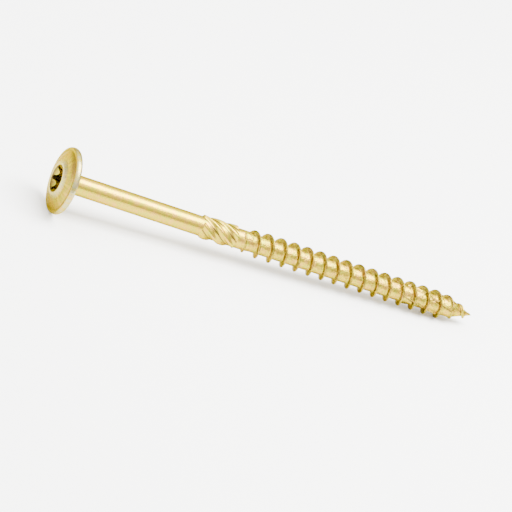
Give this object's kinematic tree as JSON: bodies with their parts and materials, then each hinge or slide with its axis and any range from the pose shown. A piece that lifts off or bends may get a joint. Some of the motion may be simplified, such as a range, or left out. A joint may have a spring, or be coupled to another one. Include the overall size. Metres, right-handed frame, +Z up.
{
  "type": "construction screw",
  "caption": "Washer-head construction screw with a six-lobe recess, part thread, milling ribs under the shank and ribs behind its sharp point.",
  "frame": {"origin": "floor point under the middle of the lying screw's bounding box", "axes": "+X from the head towards the point along the floor, +Z up; the screw lies on its head's rim and its thread, so its own axis falls by about 2.6 degrees towards the point"},
  "size_m": [0.1026, 0.0144, 0.0144],
  "materials": {
    "zinc_yellow_steel": "hardened carbon steel, zinc plated and yellow chromated, satin"
  },
  "bodies": {
    "root": {"screw": "zinc_yellow_steel"}
  },
  "joints": []
}
